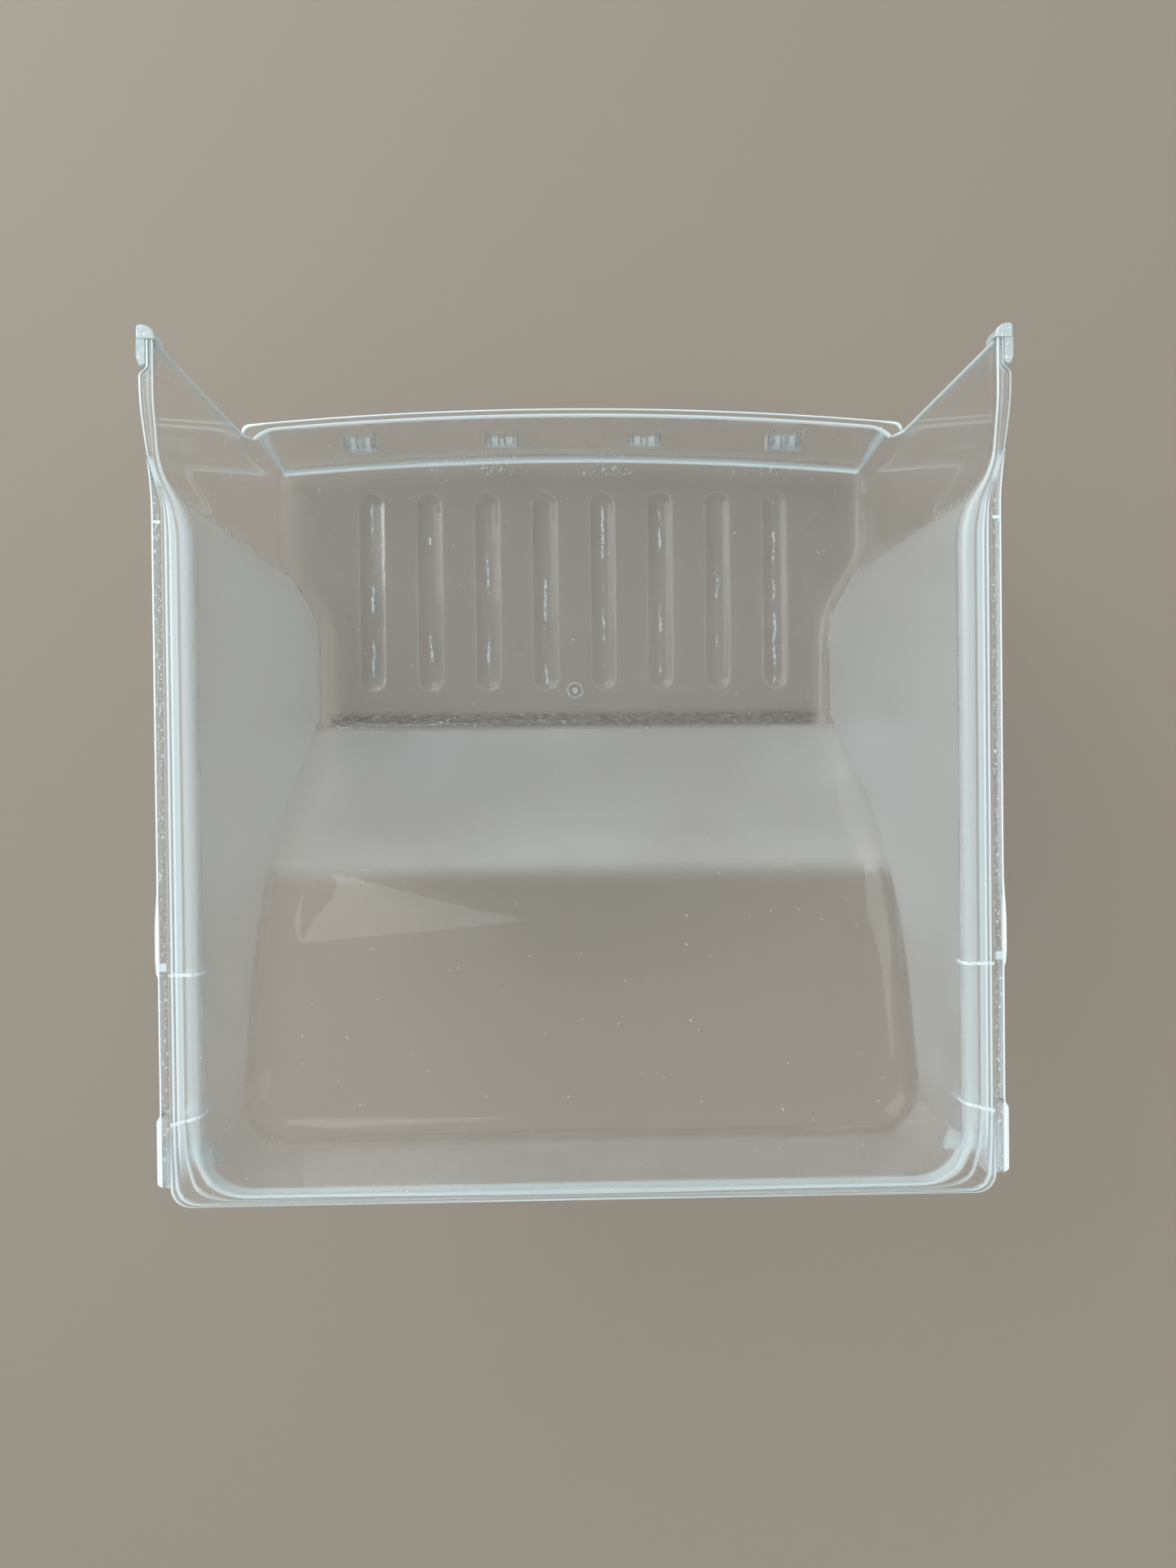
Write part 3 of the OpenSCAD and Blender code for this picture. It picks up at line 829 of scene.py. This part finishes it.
def finish_styrene(tree, shader, milk, rough, alpha):
    """Milk is the share of scattered light, and also carries the painted bright lines, which take the
    pale colour and turn opaque; the rest passes through the clear plastic.
    """
    link = tree.links.new
    link(math_node(tree, "SUBTRACT", 1.0, milk, clamp=True), shader.inputs["Transmission Weight"])
    link(rough, shader.inputs["Roughness"])
    link(math_node(tree, "MAXIMUM", alpha, ramp_between(tree, milk, 0.0, 0.5)), shader.inputs["Alpha"])
    shader.inputs["IOR"].default_value = STYRENE_IOR
    return mix_colour(tree, ramp_between(tree, milk, 0.12, 0.5), CLEAR_COLOUR, PAINTED_GLOW_AND_MILK_COLOUR)


def moulding_material():
    """Clear styrene: polished lip and rims, etched rear walls, hazy floors, scuffs and dust, with
    painted bright lines along its edges and fillets.
    """
    material, tree, shader = new_material("clear_styrene")
    link = tree.links.new
    place, x, y, z = place_on_bin(tree)
    frost, painted_glow = attribute(tree, "frost"), attribute(tree, "painted_glow")
    grain = noise(tree, place, 900.0, 2.0)
    cloud = noise(tree, place, 9.0, 4.0)

    marks, dirt = scuffs(tree, place, x, y, z)
    specks = highest(tree, dust(tree, place, 210.0, 0.10, 0.05), dust(tree, place, 70.0, 0.045, 0.16))
    flecks = product(tree, ramp_between(tree, frost, 0.36, 0.5), ramp_between(tree, frost, 0.9, 0.7),
                     ramp_between(tree, noise(tree, place, 380.0, 4.0, (1, 1, 1), 0.7), 0.56, 0.66),
                     ramp_between(tree, y, -0.135, -0.142))
    white = highest(tree, marks, specks, math_node(tree, "MULTIPLY", flecks, 0.7),
                    fused_gussets(tree, place, x, y, z))

    etched = ramp_between(tree, frost, 0.35, 0.8)
    smoothness = math_node(tree, "MULTIPLY_ADD", cloud, 0.03, 0.012)
    rough = mix_float(tree, etched, smoothness, math_node(tree, "MULTIPLY_ADD", cloud, 0.12, 0.26))
    rough = mix_float(tree, white, rough, 0.55)

    streaky = noise(tree, place, 14.0, 3.0, (1, 1, 0.25))
    haze = math_node(tree, "MULTIPLY_ADD", math_node(tree, "MULTIPLY", cloud, streaky), 0.36, 0.11)
    milk = math_node(tree, "MULTIPLY_ADD", frost, haze, 0.02)
    milk = add_painted_rib_outline(tree, x, y, z, milk)
    # The painted light kept on the mesh joins the milk here, so those lines show pale under any lamp.
    milk = highest(tree, milk, math_node(tree, "MULTIPLY", painted_glow, 0.9),
                   math_node(tree, "MULTIPLY", white, 0.85), math_node(tree, "MULTIPLY", dirt, 0.32))
    alpha = math_node(tree, "MULTIPLY_ADD", frost, 0.50, CLEAR_ALPHA)
    tint = finish_styrene(tree, shader, milk, rough, alpha)
    link(mix_colour(tree, dirt, tint, DIRT_COLOUR), shader.inputs["Base Color"])

    bump = tree.nodes.new("ShaderNodeBump")
    bump.inputs["Strength"].default_value = 0.08
    bump.inputs["Distance"].default_value = 0.0004
    link(product(tree, grain, etched), bump.inputs["Height"])
    link(bump.outputs[0], shader.inputs["Normal"])
    return material


def trim_material(name, body_milk, bright=(), foot=None):
    """Polished clear styrene with fine specks.

    bright lists the bands along Y that carry a painted highlight, as if catching light; foot is the
    height below which the piece is bright, the height where that has faded, and the brightness."""
    material, tree, shader = new_material(name)
    place, _, y, z = place_on_bin(tree)
    torn = noise(tree, place, 620.0, 4.0, (1, 0.6, 1), 0.75)
    milk = math_node(tree, "MULTIPLY_ADD", ramp_between(tree, torn, 0.57, 0.64), 0.5, body_milk)
    # painted highlight bands along Y
    for start, end, value in bright:
        band = product(tree, ramp_between(tree, y, start - SOFT_EDGE, start + SOFT_EDGE),
                       ramp_between(tree, y, end + SOFT_EDGE, end - SOFT_EDGE))
        milk = highest(tree, milk, math_node(tree, "MULTIPLY", band, value))
    if foot:
        low, high, value = foot
        lower = math_node(tree, "MULTIPLY", ramp_between(tree, z, high, low), value)
        milk = highest(tree, milk, lower)
    rough = mix_float(tree, ramp_between(tree, torn, 0.57, 0.64), 0.03, 0.4)
    tint = finish_styrene(tree, shader, milk, rough, CLEAR_ALPHA)
    tree.links.new(tint, shader.inputs["Base Color"])
    return material


def add_painted_edge_highlight(material, edge_x):
    """Paints a bright highlight on a rail outside edge_x, where its folded edge shows end on."""
    tree = material.node_tree
    shader = tree.nodes["Principled BSDF"]
    _, x, _, _ = place_on_bin(tree)
    edge = ramp_between(tree, absolute(tree, x), edge_x, edge_x + SOFT_EDGE)
    clear = math_node(tree, "SUBTRACT", 1.0, math_node(tree, "MULTIPLY", edge, 0.9))
    for name, mixer in (("Transmission Weight", "MINIMUM"), ("Alpha", "MAXIMUM")):
        socket = shader.inputs[name]
        before = socket.links[0].from_socket
        value = clear if name == "Transmission Weight" else edge
        tree.links.new(math_node(tree, mixer, before, value), socket)


def nylon_material():
    """Satin white nylon with a fine grain."""
    material, tree, shader = new_material("white_nylon")
    link = tree.links.new
    place = place_on_bin(tree)[0]
    shade = noise(tree, place, 220.0, 3.0)
    link(mix_colour(tree, shade, NYLON_DARK, NYLON_PALE), shader.inputs["Base Color"])
    link(math_node(tree, "MULTIPLY_ADD", shade, 0.15, 0.32), shader.inputs["Roughness"])
    shader.inputs["Subsurface Weight"].default_value = 0.15
    bump = tree.nodes.new("ShaderNodeBump")
    bump.inputs["Strength"].default_value = 0.1
    bump.inputs["Distance"].default_value = 0.0003
    link(shade, bump.inputs["Height"])
    link(bump.outputs[0], shader.inputs["Normal"])
    return material


def wear(piece, material):
    piece.data.materials.clear()
    piece.data.materials.append(material)
    return piece


STYRENE = moulding_material()
# Painted highlights on the rail strip at the front and rear stops and along the cover over the roller.
FRONT_STOP_HIGHLIGHT = (-0.1345, -0.1328, 0.8)       # start and end along Y in metres, and brightness
REAR_STOP_HIGHLIGHT = (0.112, 0.1168, 0.6)
COVER_HIGHLIGHT = (0.198, 0.236, 0.24)
FOLD_X = 0.2368                         # metres
RAIL_STYRENE = trim_material("rail_styrene", 0.16, [FRONT_STOP_HIGHLIGHT, REAR_STOP_HIGHLIGHT, COVER_HIGHLIGHT])
add_painted_edge_highlight(RAIL_STYRENE, FOLD_X)
TIP_STYRENE = trim_material("tip_styrene", 0.45)
TRIM_STYRENE = trim_material("trim_styrene", 0.85)
CLIP_STYRENE = trim_material("clip_styrene", 0.16, foot=(0.038, 0.052, 0.9))
GATE_STYRENE = trim_material("gate_styrene", 0.25)
NYLON = nylon_material()

wear(moulding, STYRENE)
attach(moulding, "bin")
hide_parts("front_floor", "step_slope", "rear_floor", "rear_wall", "left_side_wall",
            "right_side_wall", "left_wing", "right_wing", "front_lip", "rear_rim")
for side, name in SIDES:
    for piece, material in ((rails[side], RAIL_STYRENE), (tips[side], TIP_STYRENE),
                            (hooks[side], TIP_STYRENE)):
        wear(piece, material)
        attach(piece, "bin")
    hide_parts(name + "_rail", name + "_stop")
    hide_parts(name + "_catch")
    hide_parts(name + "_catch")
    for trim in ("_gussets", "_axle"):
        soften(wear(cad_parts[name + trim], TRIM_STYRENE), 0.3)
    soften(wear(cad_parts[name + "_roller"], NYLON), 0.4)
soften(wear(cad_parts["panel_clips"], CLIP_STYRENE), 0.25)
soften(wear(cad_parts["gate_mark"], GATE_STYRENE), 0.25)


# ---------------------------------------------------------------- stage, light and camera
FLOOR_HALF = 40.0                       # metres
CAMERA_PLACE = Vector((12.17, 7.97, 941.6))
CAMERA_TURNS = ((-0.64, "Z"), (-1.32, "Y"), (0.58, "X"))    # small turns in degrees
CAMERA_LENS, CAMERA_SENSOR = 27.03, 36.0


def make_floor():
    mesh = bpy.data.meshes.new("floor")
    size = FLOOR_HALF
    mesh.from_pydata([(-size, -size, 0), (size, -size, 0), (size, size, 0), (-size, size, 0)],
                     [], [(0, 1, 2, 3)])
    floor = bpy.data.objects.new("floor", mesh)
    bpy.context.scene.collection.objects.link(floor)
    floor.location.z = -0.0006
    material, tree, shader = new_material("plain_floor")
    shader.inputs["Base Color"].default_value = FLOOR_COLOUR
    shader.inputs["Roughness"].default_value = 0.75
    wear(floor, material)


def add_light(name, place, target, size, power, colour=(1, 1, 1)):
    lamp = bpy.data.lights.new(name, "AREA")
    lamp.shape = "RECTANGLE"
    lamp.size, lamp.size_y = size
    lamp.energy = power
    lamp.color = colour
    holder = bpy.data.objects.new(name, lamp)
    bpy.context.scene.collection.objects.link(holder)
    holder.location = place
    holder.rotation_euler = (Vector(target) - Vector(place)).to_track_quat("-Z", "Y").to_euler()


def make_light():
    world = bpy.data.worlds.new("studio")
    world.use_nodes = True
    bpy.context.scene.world = world
    tree = world.node_tree
    back = tree.nodes["Background"]
    slant = tree.nodes.new("ShaderNodeVectorMath")
    slant.operation = "DOT_PRODUCT"
    slant.inputs[1].default_value = (0.74, -0.48, 0.47)      # towards the brighter side of the room
    tree.links.new(tree.nodes.new("ShaderNodeTexCoord").outputs["Generated"], slant.inputs[0])
    side = ramp_between(tree, slant.outputs["Value"], -0.75, 0.95)
    tree.links.new(mix_colour(tree, side, ROOM_DARK, ROOM_BRIGHT), back.inputs["Color"])
    back.inputs["Strength"].default_value = 0.86
    add_light("window", (1.3, -1.2, 1.2), (0.1, -0.1, 0.1), (2.4, 1.8), 26, (0.96, 0.98, 1.0))
    add_light("fill", (-1.7, 0.9, 1.6), (0, 0, 0.1), (1.8, 1.8), 9, (1.0, 0.98, 0.95))
    bpy.context.scene.view_settings.view_transform = "Standard"


def make_camera():
    """Looks nearly straight down on the bin, with the front at the top of the picture."""
    lens = bpy.data.cameras.new("camera")
    lens.sensor_width = CAMERA_SENSOR
    lens.lens = CAMERA_LENS
    lens.clip_start = 0.01
    camera = bpy.data.objects.new("camera", lens)
    bpy.context.scene.collection.objects.link(camera)
    tilt = [Matrix.Rotation(math.radians(angle), 3, axis) for angle, axis in CAMERA_TURNS]
    down = Matrix(((-1, 0, 0), (0, 1, 0), (0, 0, -1)))   # rows: right, image down, forwards
    right, below, ahead = (tilt[0] @ tilt[1] @ tilt[2] @ down)
    turn = Matrix((right, -below, -ahead)).transposed()
    camera.matrix_world = Matrix.Translation(CAMERA_PLACE * MM) @ turn.to_4x4()
    bpy.context.scene.camera = camera


make_floor()
make_light()
make_camera()
